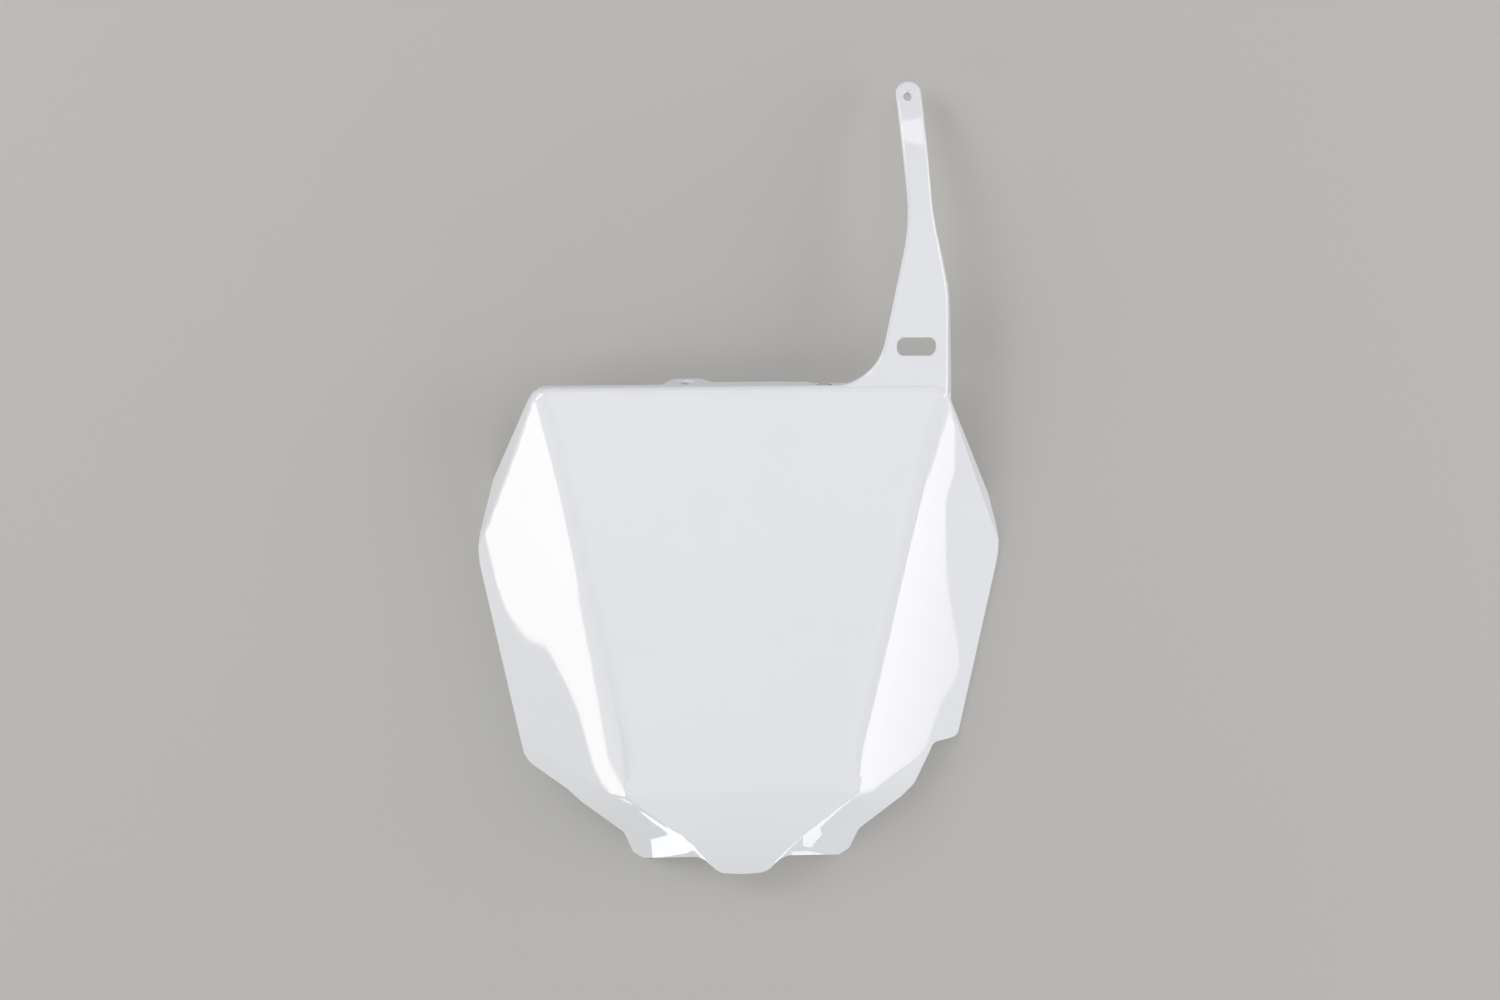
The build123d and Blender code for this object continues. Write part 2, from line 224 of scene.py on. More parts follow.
def aimed(centre, width, height):
    """Corners of a panel that faces the board."""
    across = Vector((0, 0, 1)).cross(centre).normalized() * width / 2
    tall = centre.cross(across).normalized() * height / 2
    return [centre - across - tall, centre + across - tall, centre + across + tall, centre - across + tall]


softbox("back_softbox", leaning(BACK_OUTLINE), 3.2)
softbox("back_left_softbox", aimed(BACK_LEFT_CENTRE, BACK_LEFT_SIDE, BACK_LEFT_SIDE), 7.9)
softbox("overhead_softbox", OVERHEAD, 0.72)

# %% [markdown]
# ## The room
# The rest of the light comes evenly from all sides, as from a white room, so the shadows stay soft and
# the board's tones stay close together. A picture of a room would show in the gloss, so this is a plain
# Background shader.

# %% World
world = bpy.data.worlds.new("room")
scene.world = world
world.use_nodes = True
room_light = world.node_tree.nodes["Background"]
room_light.inputs["Color"].default_value = (0.90, 0.94, 1.0, 1)
room_light.inputs["Strength"].default_value = 0.21
print("room light", round(room_light.inputs["Strength"].default_value, 2))

# %% [markdown]
# ## Floor
# The board lies on a plain pale grey floor that fills the picture, and its shadow there is faint. Other
# lamps would change the board too. So for the camera and for reflections a share of the floor is an even
# grey, through Light Path, and the rest is shaded as usual and keeps the shadow.

# %% Floor
FLOOR_REACH = 3.0
floor_mesh = bpy.data.meshes.new("floor")
floor_corners = [(x * FLOOR_REACH, y * FLOOR_REACH, 0) for x, y in ((-1, -1), (1, -1), (1, 1), (-1, 1))]
floor_mesh.from_pydata(floor_corners, [], [(0, 1, 2, 3)])
floor = bpy.data.objects.new("floor", floor_mesh)
scene.collection.objects.link(floor)
print("floor", 2 * FLOOR_REACH, "m wide")

# %% Pale grey finish of the floor
PLAIN_SHARE = 0.4
floor_material = bpy.data.materials.new("pale_grey_floor")
floor_material.use_nodes = True
floor_mesh.materials.append(floor_material)
floor_tree = floor_material.node_tree
floor_shader = floor_tree.nodes["Principled BSDF"]
floor_shader.inputs["Base Color"].default_value = (0.462, 0.455, 0.440, 1)
floor_shader.inputs["Roughness"].default_value = 0.95
floor_shader.inputs["Specular IOR Level"].default_value = 0.1
plain = floor_tree.nodes.new("ShaderNodeEmission")
plain.inputs["Color"].default_value = (0.485, 0.478, 0.462, 1)
seen = floor_tree.nodes.new("ShaderNodeLightPath")
seen_or_mirrored = floor_tree.nodes.new("ShaderNodeMath")
seen_or_mirrored.operation = "MAXIMUM"
floor_tree.links.new(seen.outputs["Is Camera Ray"], seen_or_mirrored.inputs[0])
floor_tree.links.new(seen.outputs["Is Glossy Ray"], seen_or_mirrored.inputs[1])
share = floor_tree.nodes.new("ShaderNodeMath")
share.operation = "MULTIPLY"
share.inputs[1].default_value = PLAIN_SHARE
floor_tree.links.new(seen_or_mirrored.outputs["Value"], share.inputs[0])
mixed = floor_tree.nodes.new("ShaderNodeMixShader")
floor_tree.links.new(share.outputs["Value"], mixed.inputs["Fac"])
floor_tree.links.new(floor_shader.outputs["BSDF"], mixed.inputs[1])
floor_tree.links.new(plain.outputs["Emission"], mixed.inputs[2])
floor_tree.links.new(mixed.outputs["Shader"], floor_tree.nodes["Material Output"].inputs["Surface"])
print("floor with a plain share of", PLAIN_SHARE)

# %% [markdown]
# ## A clean copy of the moulding
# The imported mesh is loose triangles, right in shape but too coarse for gloss: long thin triangles bend a
# reflection. Its copy is merged into one closed skin, and flat neighbours are joined into single faces.
# Tiny steps along the trimmed edges are taken out, because a rounded edge needs room on both sides.

# %% Merge the copy
MM = 0.001
TRIM_ANGLE = radians(38)  # sharper edges than this were trimmed or parted, and weren't moulded round
FLAT_ANGLE = radians(0.4)
SAME_POINT = 0.03 * MM

board = bmesh.new()
board.from_mesh(cad_board.data)
bmesh.ops.remove_doubles(board, verts=board.verts, dist=SAME_POINT)
bmesh.ops.dissolve_degenerate(board, dist=SAME_POINT, edges=board.edges)
bmesh.ops.dissolve_limit(
    board, angle_limit=FLAT_ANGLE, use_dissolve_boundaries=False,
    verts=board.verts, edges=board.edges, delimit=set(),
)
print("merged copy:", len(board.verts), "points,", len(board.faces), "faces")

# %% Take out tiny steps
SHORTEST_STEP = 0.7 * MM
NO_LENGTH = 0.01 * MM
SWEEPS = 4


def is_trimmed(edge):
    return edge.is_manifold and edge.calc_face_angle(0) > TRIM_ANGLE


def take_out_steps(mesh, shortest):
    """Collapses the shortest pieces of the trimmed edges, a few passes over separate places."""
    for sweep in range(SWEEPS):
        trimmed = {edge for edge in mesh.edges if is_trimmed(edge)}
        short, taken = [], set()
        for edge in sorted(trimmed, key=lambda e: (round(e.calc_length(), 9), e.index)):
            runs_on = all(sum(e in trimmed for e in vert.link_edges) == 2 for vert in edge.verts)
            if edge.calc_length() < shortest and runs_on and taken.isdisjoint(edge.verts):
                short.append(edge)
                taken.update(v for vert in edge.verts for e in vert.link_edges for v in e.verts)
        if not short:
            break
        bmesh.ops.collapse(mesh, edges=short, uvs=False)
    bmesh.ops.dissolve_degenerate(mesh, dist=NO_LENGTH, edges=mesh.edges)


take_out_steps(board, SHORTEST_STEP)
print("left:", len(board.verts), "points, open edges", sum(not edge.is_manifold for edge in board.edges))

# %% [markdown]
# ## Rounded rim
# A moulding's rim is never quite sharp, and its rounded outer edge catches the lamps as a thin bright line.
# A Bevel modifier would take every sharp edge alike. Here the edges are picked, and the round is wider outside
# and finer inside. Edges with no room beside them stay sharp, and so does the small countersunk hole at the
# strap's end, where rounds would run into each other.

# %% Round the rim
STRAP_HOLE = Vector((75.4, 178.5, 18.0)) * MM
HOLE_REACH = 4.5 * MM
OUTER_ROUND, OUTER_SEGMENTS, FACING_OUT = 0.7 * MM, 3, 0.08
INNER_ROUND, INNER_SEGMENTS, ANY_WAY = 0.3 * MM, 2, -1.0
ROOM = 1.4  # least room beside an edge, in radii


def round_rim(mesh, radius, segments, lowest):
    """Rounds trimmed outer corners, where one side faces up by more than lowest."""
    picked = []
    for edge in mesh.edges:
        if not is_trimmed(edge) or not edge.is_convex:
            continue
        middle = (edge.verts[0].co + edge.verts[1].co) / 2
        space = min(face.calc_area() for face in edge.link_faces) / edge.calc_length()
        faces_up = max(face.normal.z for face in edge.link_faces) > lowest
        if faces_up and space > ROOM * radius and (middle - STRAP_HOLE).length > HOLE_REACH:
            picked.append(edge)
    bmesh.ops.bevel(
        mesh, geom=picked, offset=radius, offset_type="OFFSET", segments=segments, profile=0.5,
        affect="EDGES", clamp_overlap=False, loop_slide=True, material=-1,
    )
    return len(picked)


print("rounded outside:", round_rim(board, OUTER_ROUND, OUTER_SEGMENTS, FACING_OUT), "edges")
print("rounded inside:", round_rim(board, INNER_ROUND, INNER_SEGMENTS, ANY_WAY), "edges")

# %% [markdown]
# ## A finer skin
# The bowed wings, the rolled lower end and the strap's bend are cylinders, and they need more points. A
# Subdivision Surface would round the creases too. So a grid of cuts is made, like a sheet of squared paper
# laid over the plan, and the points are then moved onto the true cylinder. The cuts by the feet are
# closer, because the surface turns quickly there.

# %% Cut the grid
ACROSS = Vector((1, 0, 0))
ALONG = Vector((0, 1, 0))
LARGE_FACE = 2.0 * MM * MM
CUT_NEAR = 0.05 * MM
COARSE_ACROSS = np.arange(-120, 121, 3) * MM
COARSE_ALONG = np.arange(-183, 184, 3) * MM
FINE_ACROSS = np.arange(-63.5, 64, 1) * MM
FINE_ALONG = np.arange(-183.5, -128, 1) * MM
FEET_UPPER, FEET_INNER, FEET_OUTER = -0.128, 0.016, 0.064
FEET_FACING = 0.3


def cut_grid(mesh, direction, places, wanted):
    for place in places:
        faces = [face for face in mesh.faces if wanted(face)]
        edges = {edge for face in faces for edge in face.edges}
        verts = {vert for face in faces for vert in face.verts}
        bmesh.ops.bisect_plane(
            mesh, geom=[*faces, *edges, *verts], dist=CUT_NEAR,
            plane_co=direction * place, plane_no=direction,
        )


def is_large(face):
    return face.calc_area() > LARGE_FACE


def is_by_feet(face):
    centre = face.calc_center_median()
    by_foot = centre.y < FEET_UPPER and FEET_INNER < abs(centre.x) < FEET_OUTER
    return by_foot and face.normal.z > FEET_FACING


cut_grid(board, ACROSS, COARSE_ACROSS, is_large)
cut_grid(board, ALONG, COARSE_ALONG, is_large)
cut_grid(board, ACROSS, FINE_ACROSS, is_by_feet)
cut_grid(board, ALONG, FINE_ALONG, is_by_feet)
print("grid:", len(board.verts), "points,", len(board.faces), "faces")

# %% [markdown]
# ## True surfaces
# Each large surface of the moulding is a plane or a cylinder, known from the drawing. From here on the
# sizes are in millimetres, as on a drawing, and lengths along the board count down from the face's top edge.

# %% Sizes of the drawing
TOP_Y = 50.5
FACE_Z = 32.0
WALL = 2.4
CREASE_TOP = 93.0
CREASE_LOW = Vector((53.0, 193.0))
WING_SLOPE = radians(28.5)
WING_BOW = 300.0
ROLL_START = 183.0
ROLL_RADIUS = 110.0
SKIRT_END = Vector((21.5, 222.0))
FOOT = Vector((50.6, 234.2, -3.0))
FOLD = Vector((62.0, 191.9, 27.0))
FOLD_END = Vector((101.0, 176.0, 3.2))
HEM = Vector((82.0, 194.8, 9.4))
LIP_TOP, LIP_LOW, WIDEST = 91.7, 112.7, Vector((122.4, 79.5))
FLANGE_DRAFT = radians(6.0)
STRAP_TOP, STRAP_WALL, STRAP_BEND, STRAP_RADIUS = 30.8, 3.0, 72.0, 130.0
UP = np.array((0.0, 0.0, 1.0))
SIDEWAYS = np.array((1.0, 0.0, 0.0))
print("face", 2 * CREASE_TOP, "mm wide at its top,", 2 * CREASE_LOW.x, "mm at its lower end")

# %% Surfaces of the drawing
def spot(x, down, height):
    return np.array((x, TOP_Y - down, height))


def unit(vector):
    return vector / np.linalg.norm(vector)


def rolled(down):
    """Height of the number face, flat and then rolled back."""
    run = np.maximum(np.asarray(down) - ROLL_START, 0)
    return FACE_Z - ROLL_RADIUS + np.sqrt(ROLL_RADIUS**2 - run**2)


def plane(a, b, c):
    normal = unit(np.cross(b - a, c - a))
    return ("plane", a, normal * np.sign(normal[2]), 0.0)


def skirt(side):
    return plane(
        spot(side * CREASE_LOW.x, CREASE_LOW.y, rolled(CREASE_LOW.y)),
        spot(side * SKIRT_END.x, SKIRT_END.y, rolled(SKIRT_END.y)),
        spot(side * FOOT.x, FOOT.y, FOOT.z),
    )


def wing(side):
    crease = spot(side * CREASE_LOW.x, CREASE_LOW.y, 0) - spot(side * CREASE_TOP, 0, 0)
    outward = unit(np.cross(crease, -side * UP))
    axis = spot(side * CREASE_TOP, 0, FACE_Z) - WING_BOW * (sin(WING_SLOPE) * outward + cos(WING_SLOPE) * UP)
    return ("bow", axis, unit(crease), WING_BOW)


def fold(side):
    return plane(*[spot(side * corner.x, corner.y, corner.z) for corner in (FOLD, FOLD_END, HEM)])


def lip(side):
    upper, lower = spot(side * LIP_TOP, 0, FACE_Z), spot(side * LIP_LOW, WIDEST.y, FACE_Z)
    return plane(upper, lower, spot(side * WIDEST.x, WIDEST.y, 0))


WALLED = [
    ("plane", spot(0, 0, FACE_Z), UP, 0.0),
    ("bow", spot(0, ROLL_START, FACE_Z - ROLL_RADIUS), SIDEWAYS, ROLL_RADIUS),
    ("plane", spot(0, 0, FACE_Z), np.array((0, cos(FLANGE_DRAFT), sin(FLANGE_DRAFT))), 0.0),
    *[surface(side) for surface in (skirt, fold, wing, lip) for side in (-1, 1)],
]
STRAPPED = [
    ("plane", spot(0, 0, STRAP_TOP), UP, 0.0),
    ("bow", spot(0, -STRAP_BEND, STRAP_TOP - STRAP_RADIUS), SIDEWAYS, STRAP_RADIUS),
]
print("surfaces:", len(WALLED), "on the shell and", len(STRAPPED), "on the strap")

# %% [markdown]
# A point that lies on one of these surfaces is put exactly on it and keeps that surface's own normal, so the
# gloss shows clean reflections right up to the creases. Smooth shading alone would average the normals
# across a crease. The inside of the wall has the same surfaces, one wall thickness further in.

# %% Put the points on their surfaces
TOUCHING, NEAR = 0.02, 0.1
FACING_ALIKE, FACING_SAME = 0.8, 0.985  # cosines of the angle between two normals


def measure(surface, points):
    """Distance of each point outside a surface, and the surface's normal there."""
    kind, origin, direction, radius = surface
    reach = points - origin
    if kind == "plane":
        return reach @ direction, np.broadcast_to(direction, points.shape)
    spoke = reach - np.outer(reach @ direction, direction)
    length = np.linalg.norm(spoke, axis=1)
    return length - radius, spoke / length[:, None]


board.normal_update()
points = np.array([vert.co for vert in board.verts]) / MM
facing = np.array([vert.normal for vert in board.verts])
true_normal = np.zeros_like(points)
best = np.full(len(points), FACING_ALIKE)
inside = np.zeros(len(points), bool)
for surfaces, thickness in ((WALLED, WALL), (STRAPPED, STRAP_WALL)):
    for surface in surfaces:
        for depth, sense in ((0.0, 1), (thickness, -1)):
            off, normal = measure(surface, points)
            off = off + depth
            agrees = sense * np.einsum("ij,ij->i", normal, facing)
            on = (abs(off) < TOUCHING) | ((abs(off) < NEAR) & (agrees > FACING_SAME))
            on &= agrees > best
            points[on] -= (off[:, None] * normal)[on]
            true_normal[on] = sense * normal[on]
            best[on] = agrees[on]
            inside[on] = sense < 0
on_surface = best > FACING_ALIKE
print("on true surfaces:", int(on_surface.sum()), "of", len(points), "points")

# %% [markdown]
# ## Round end of the tongue
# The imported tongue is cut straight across, and the real one ends in a flat bow. Here the bow is about a
# millimetre high, still less than the real one. A cut would need new faces, so the points slide up the
# rolled surface instead, most at both corners, and the tongue keeps its roll.

# %% Bow the tongue's end
TONGUE_START = 225.0
TONGUE_END = 235.0
TONGUE_HALF_WIDTH = 12.0
TONGUE_ROOT = 19.0
TONGUE_BOW = 1.3

down = TOP_Y - points[:, 1]
towards_end = ((down - TONGUE_START) / (TONGUE_END - TONGUE_START)).clip(0, 1)
slide = TONGUE_BOW * (points[:, 0] / TONGUE_HALF_WIDTH) ** 2 * towards_end
slide[abs(points[:, 0]) > TONGUE_ROOT] = 0
points[:, 2] += rolled(down - slide) - rolled(down)
points[:, 1] += slide
print("tongue's corners move up by", round(float(slide.max()), 2), "mm")

# %% [markdown]
# ## Soft wing creases
# The long creases beside the number face look softly pressed: the lamps' images fade out over the last ten
# millimetres of the face. As a real form this turn would sink the face's edge by two or three millimetres,
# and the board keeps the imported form. So only the normals turn here, and the mesh itself doesn't.

# %% Soften the wing creases
SOFT_AT = [0.0, 10.0, 170.0, 183.0]
SOFT_WIDTH = [3.0, 10.0, 10.0, 4.0]
SOFT_START = 5.0
CREASE_ROUND = 1.3
LOWEST_PRESSED = 31.0

down = TOP_Y - points[:, 1]
for side in (-1, 1):
    start = spot(side * CREASE_TOP, 0, FACE_Z)
    crease = unit(spot(side * CREASE_LOW.x, CREASE_LOW.y, FACE_Z) - start)
    outward = unit(np.cross(crease, -side * UP))
    inward = (start - points) @ outward
    width = np.interp(down, SOFT_AT, SOFT_WIDTH)
    pressed = (points[:, 2] > LOWEST_PRESSED) & (facing[:, 2] > FACING_ALIKE)
    pressed &= (down > SOFT_START) & (down < ROLL_START) & (inward > -CREASE_ROUND) & (inward < width)
    tilt = (WING_SLOPE * (1 - inward / width).clip(0, 1))[pressed]
    true_normal[pressed] = np.sin(tilt)[:, None] * outward + np.cos(tilt)[:, None] * UP
    print("soft crease", side, "has", int(pressed.sum()), "points")

# %% [markdown]
# ## Hems
# Along a wing's lower edge runs a fold, and it passes into the skirt without a visible line. Both are planes
# in the drawing, so their normals are mixed over a few millimetres where the two planes come together.

# %% Blend fold and skirt
HEM_SOFTNESS = 6.0
HEM_INNER, HEM_UPPER = 45.0, 172.0


def slant(surface, x, y):
    """Height of a sloping plane."""
    origin, normal = surface[1:3]
    return origin[2] - (normal[0] * (x - origin[0]) + normal[1] * (y - origin[1])) / normal[2]


for side in (-1, 1):
    by_hem = (side * points[:, 0] > HEM_INNER) & (TOP_Y - points[:, 1] > HEM_UPPER)
    hem = np.flatnonzero(on_surface & ~inside & by_hem)
    x, y = points[hem, 0], points[hem, 1]
    fold_height, skirt_height = slant(fold(side), x, y), slant(skirt(side), x, y)
    hem_on = abs(points[hem, 2] - np.minimum(fold_height, skirt_height)) < NEAR
    folded = np.clip(0.5 + 0.5 * (skirt_height - fold_height) / HEM_SOFTNESS, 0, 1)[hem_on]
    both = folded[:, None] * fold(side)[2] + (1 - folded)[:, None] * skirt(side)[2]
    true_normal[hem[hem_on]] = both / np.linalg.norm(both, axis=1)[:, None]
    print("hem", side, "has", len(folded), "points")

# %% [markdown]
# ## Creases by the feet
# Each skirt meets the rolled lower end in a crease with a small round, where a thin bright line runs. A
# bevel could round it. The smooth minimum of the two heights is used, because its slopes give the
# normals too.

# %% Round the creases by the feet
CREASE_WIDTH = 1.3
CREASE_NEAR = 0.3
LOWER_END, LOWER_HALF_WIDTH = 194.0, 52.0
NUDGE = 0.02
FACING_UP = 0.5


def smooth_low(a, b, width):
    """The lower of two heights, with a rounded corner of that width between them."""
    overlap = np.maximum(1 - abs(a - b) / width, 0)
    return np.minimum(a, b) - width / 4 * overlap**2


def lower_end(x, y):
    """Height of the rolled end and its two skirts."""
    return smooth_low(rolled(TOP_Y - y), slant(skirt(1), abs(x), y), CREASE_WIDTH)


by_feet = (TOP_Y - points[:, 1] > LOWER_END) & (abs(points[:, 0]) < LOWER_HALF_WIDTH)
lowest = np.flatnonzero(by_feet & (facing[:, 2] > FACING_UP))
lowest = lowest[abs(points[lowest, 2] - lower_end(points[lowest, 0], points[lowest, 1])) < CREASE_NEAR]
x, y = points[lowest, 0], points[lowest, 1]
slope_x = (lower_end(x + NUDGE, y) - lower_end(x - NUDGE, y)) / (2 * NUDGE)
slope_y = (lower_end(x, y + NUDGE) - lower_end(x, y - NUDGE)) / (2 * NUDGE)
normals = np.stack((-slope_x, -slope_y, np.ones_like(x)), axis=1)
points[lowest, 2] = lower_end(x, y)
true_normal[lowest] = normals / np.linalg.norm(normals, axis=1)[:, None]
print("lower end has", len(lowest), "points")

# %% [markdown]
# ## Turned-up feet
# Each foot shows a broad white patch, with a sliver that runs up beside the crease, as if it were turned up
# there, and the left wing's white runs out in a fine tip. As real forms the turns would be several
# millimetres high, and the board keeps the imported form. So only the normals lean here, by up to about twenty
# degrees on the feet and thirty-four at the tip, within outlines in plan, and they fade in over a millimetre.

# %% Turn up the feet
LEFT_FOOT_NORMAL = (-0.167, -0.470, 0.867)
LEFT_FOOT = [
    (-40.5, -153.3), (-33.1, -158.7), (-28.9, -160.5), (-25.7, -164.6), (-21.9, -168.2), (-25.7, -173.0),
    (-42.6, -182.0), (-43.9, -167.5), (-35.4, -161.8), (-38.4, -158.2), (-41.5, -156.4), (-45.8, -152.0),
    (-49.0, -148.9), (-48.3, -147.6), (-45.0, -149.6),
]
RIGHT_FOOT_NORMAL = (0.126, -0.476, 0.870)
RIGHT_FOOT = [
    (52.3, -144.4), (50.9, -142.8), (44.5, -147.8), (39.9, -152.4), (36.4, -155.3), (33.2, -158.4),
    (28.1, -163.0), (27.7, -170.0), (33.2, -172.8), (38.4, -163.8), (36.6, -159.6), (38.2, -157.4),
    (41.3, -154.0), (45.9, -149.4),
]
RIGHT_EDGE = [
    (22.5, -171.5), (29.5, -173.0), (34.5, -175.5), (39.5, -179.0),
    (39.5, -182.5), (34.0, -180.5), (29.0, -177.0), (22.5, -174.5),
]
WING_TIP_NORMAL = (-0.520, -0.058, 0.852)
WING_TIP = [
    (-59.1, -131.2), (-56.6, -134.9), (-53.6, -140.2), (-50.4, -145.9), (-52.9, -145.3),
    (-56.0, -143.7), (-59.0, -141.6), (-62.0, -139.2), (-61.8, -135.5),
]
TIP_INNER, TIP_UPPER = -45.0, 175.0
FADE_WIDTH = 1.0
NEVER_ZERO = 1e-12


def depth_inside(outline, x, y):
    """How far inside an outline each point lies, negative outside."""
    corners = np.array(outline)
    gap = np.full(len(x), np.inf)
    odd = np.zeros(len(x), bool)
    for (x0, y0), (x1, y1) in zip(corners, np.roll(corners, -1, axis=0)):
        along = ((x - x0) * (x1 - x0) + (y - y0) * (y1 - y0)) / ((x1 - x0) ** 2 + (y1 - y0) ** 2)
        along = np.clip(along, 0, 1)
        gap = np.minimum(gap, np.hypot(x - x0 - along * (x1 - x0), y - y0 - along * (y1 - y0)))
        odd ^= ((y0 > y) != (y1 > y)) & (x < x0 + (y - y0) * (x1 - x0) / (y1 - y0 + NEVER_ZERO))
    return np.where(odd, gap, -gap)


def turn_up(name, picked, outline, target):
    """Leans the normals of the picked points towards a target, within an outline."""
    depth = depth_inside(outline, points[picked, 0], points[picked, 1])
    weight = np.clip(0.5 + depth / FADE_WIDTH, 0, 1)
    leaned = true_normal[picked] + weight[:, None] * (np.array(target) - true_normal[picked])
    true_normal[picked] = leaned / np.linalg.norm(leaned, axis=1)[:, None]
    print(name, "has", int((weight > 0.5).sum()), "points")


turn_up("left foot", lowest, LEFT_FOOT, LEFT_FOOT_NORMAL)
turn_up("right foot", lowest, RIGHT_FOOT, RIGHT_FOOT_NORMAL)
turn_up("right foot's edge", lowest, RIGHT_EDGE, RIGHT_FOOT_NORMAL)
by_tip = (TOP_Y - points[:, 1] > TIP_UPPER) & (points[:, 0] < TIP_INNER)
tip = np.flatnonzero(by_tip & (true_normal[:, 2] > FACING_UP))
turn_up("left wing's tip", tip, WING_TIP, WING_TIP_NORMAL)

# %% [markdown]
# ## White plastic
# The board is moulded in white plastic: bluish white and very glossy outside. The inside is taken to be
# satin, as where a mould isn't polished. Real mouldings are never quite even, and a plain shader would look
# too clean. So a shared node group gives both finishes a faint cloudiness, a long slow wave in the surface
# that makes reflections wander, and a fine peel.

# %% Node helpers
def new_group(name, inputs, outputs):
    group = bpy.data.node_groups.new(name, "ShaderNodeTree")
    for socket, kind, value in inputs:
        made = group.interface.new_socket(socket, in_out="INPUT", socket_type=kind)
        made.default_value = value
    for socket, kind in outputs:
        group.interface.new_socket(socket, in_out="OUTPUT", socket_type=kind)
    return group, group.nodes.new("NodeGroupInput"), group.nodes.new("NodeGroupOutput")


def noise(tree, vector, scale, detail=2.0, roughness=0.5):
    node = tree.nodes.new("ShaderNodeTexNoise")
    node.inputs["Scale"].default_value = scale
    node.inputs["Detail"].default_value = detail
    node.inputs["Roughness"].default_value = roughness
    tree.links.new(vector, node.inputs["Vector"])
    return node.outputs["Fac"]


def stretch(tree, value, low, high):
    """Spreads the range from low to high over 0 to 1."""
    node = tree.nodes.new("ShaderNodeMapRange")
    node.inputs["From Min"].default_value = low
    node.inputs["From Max"].default_value = high
    tree.links.new(value, node.inputs["Value"])
    return node.outputs["Result"]


def calculate(tree, operation, *values):
    node = tree.nodes.new("ShaderNodeMath")
    node.operation = operation
    for socket, value in zip(node.inputs, values):
        if isinstance(value, bpy.types.NodeSocket):
            tree.links.new(value, socket)
        else:
            socket.default_value = value
    return node.outputs["Value"]


print("helpers for a node group, noise, a range and arithmetic")

# %% Moulded surface group
CLOUD_SCALE, PATCH_SCALE, WAVE_SCALE, PEEL_SCALE = 22.0, 60.0, 16.0, 420.0
PEEL_SHARE = 0.004  # height of the peel, as a share of the wave's

moulded, moulded_in, moulded_out = new_group(
    "moulded_surface",
    [
        ("Vector", "NodeSocketVector", (0, 0, 0)),
        ("Gloss", "NodeSocketFloat", 0.1),
        ("Unevenness", "NodeSocketFloat", 0.03),
    ],
    [("Cloud", "NodeSocketFloat"), ("Roughness", "NodeSocketFloat"), ("Height", "NodeSocketFloat")],
)
where, gloss, unevenness = (moulded_in.outputs[name] for name in ("Vector", "Gloss", "Unevenness"))
cloud = stretch(moulded, noise(moulded, where, CLOUD_SCALE, detail=3.0), low=0.3, high=0.7)
patch = stretch(moulded, noise(moulded, where, PATCH_SCALE, detail=4.0, roughness=0.6), low=0.35, high=0.75)
rough = calculate(moulded, "MULTIPLY_ADD", patch, unevenness, gloss)
wave = noise(moulded, where, WAVE_SCALE, detail=1.0)
peel = calculate(moulded, "MULTIPLY", noise(moulded, where, PEEL_SCALE), PEEL_SHARE)
moulded.links.new(cloud, moulded_out.inputs["Cloud"])
moulded.links.new(rough, moulded_out.inputs["Roughness"])
moulded.links.new(calculate(moulded, "ADD", wave, peel), moulded_out.inputs["Height"])
print("node group", moulded.name, "with", len(moulded.nodes), "nodes")

# %% [markdown]
# The two finishes differ only in their values: the outside reflects sharply, and the inside is dull. Two
# materials written out in full would do as well, but one function keeps them alike.

# %% Gloss outside, satin inside
WAVE_HEIGHT = 0.06 * MM


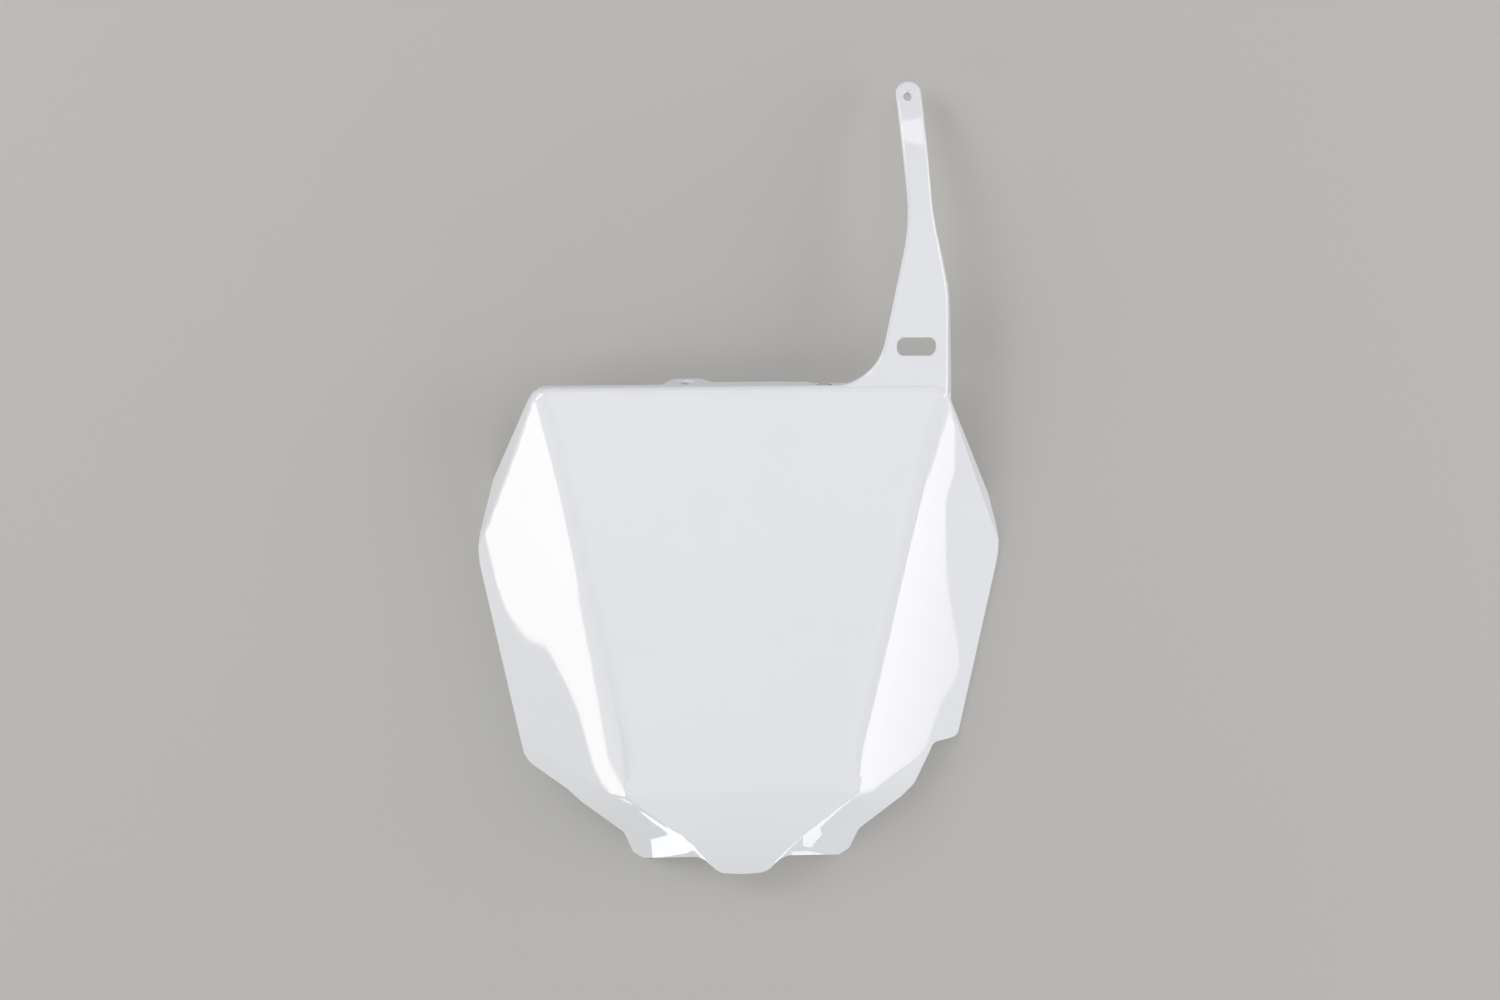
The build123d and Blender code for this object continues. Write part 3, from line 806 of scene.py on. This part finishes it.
def white_plastic(name, light, dark, gloss, unevenness):
    material = bpy.data.materials.new(name)
    material.use_nodes = True
    tree = material.node_tree
    shader = tree.nodes["Principled BSDF"]
    shader.inputs["IOR"].default_value = 1.5
    place = tree.nodes.new("ShaderNodeTexCoord").outputs["Object"]
    surface = tree.nodes.new("ShaderNodeGroup")
    surface.node_tree = moulded
    surface.inputs["Gloss"].default_value = gloss
    surface.inputs["Unevenness"].default_value = unevenness
    tree.links.new(place, surface.inputs["Vector"])
    tone = tree.nodes.new("ShaderNodeMix")
    tone.data_type = "RGBA"
    tone.inputs["A"].default_value = (*light, 1)
    tone.inputs["B"].default_value = (*dark, 1)
    tree.links.new(surface.outputs["Cloud"], tone.inputs["Factor"])
    tree.links.new(tone.outputs["Result"], shader.inputs["Base Color"])
    tree.links.new(surface.outputs["Roughness"], shader.inputs["Roughness"])
    bump = tree.nodes.new("ShaderNodeBump")
    bump.inputs["Strength"].default_value = 1.0
    bump.inputs["Distance"].default_value = WAVE_HEIGHT
    tree.links.new(surface.outputs["Height"], bump.inputs["Height"])
    tree.links.new(bump.outputs["Normal"], shader.inputs["Normal"])
    print(name, "roughness from", gloss)
    return material


gloss_white = white_plastic(
    "gloss_white_plastic",
    light=(0.770, 0.778, 0.806), dark=(0.758, 0.767, 0.796), gloss=0.035, unevenness=0.02,
)
satin_white = white_plastic(
    "satin_white_plastic",
    light=(0.748, 0.756, 0.776), dark=(0.730, 0.739, 0.760), gloss=0.34, unevenness=0.10,
)

# %% [markdown]
# ## The finished board
# The points go back into the mesh, the inside takes the satin finish, and edges that stay sharp are marked,
# so that nothing is shaded across them. The normals from above are set as custom normals. Corners whose face
# points elsewhere keep Blender's own.

# %% Points and finishes
FACING_DOWN = -0.3

for vert, place in zip(board.verts, points):
    vert.co = place * MM
board.verts.index_update()
board.normal_update()
for face in board.faces:
    face.smooth = True
    lining = sum(inside[vert.index] for vert in face.verts) > len(face.verts) / 2
    face.material_index = 1 if lining or face.normal.z < FACING_DOWN else 0
for edge in board.edges:
    edge.smooth = not edge.is_manifold or edge.calc_face_angle(0) < TRIM_ANGLE

skin = bpy.data.meshes.new("moulded_board")
board.to_mesh(skin)
skin.materials.append(gloss_white)
skin.materials.append(satin_white)
print("satin faces:", sum(face.material_index for face in skin.polygons), "of", len(skin.polygons))

# %% Normals and the finished object
FACING_LIKE_ITS_FACE = 0.75

corner_normals = []
for face in skin.polygons:
    for corner in face.loop_indices:
        normal = true_normal[skin.loops[corner].vertex_index]
        suits = normal @ np.array(face.normal) > FACING_LIKE_ITS_FACE
        corner_normals.append(normal if suits else (0, 0, 0))
skin.normals_split_custom_set(corner_normals)
moulded_board = bpy.data.objects.new("moulded_board", skin)
scene.collection.objects.link(moulded_board)
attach(moulded_board, "root")
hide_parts("number_board")
print("moulded_board:", sum(len(face.vertices) - 2 for face in skin.polygons), "triangles")
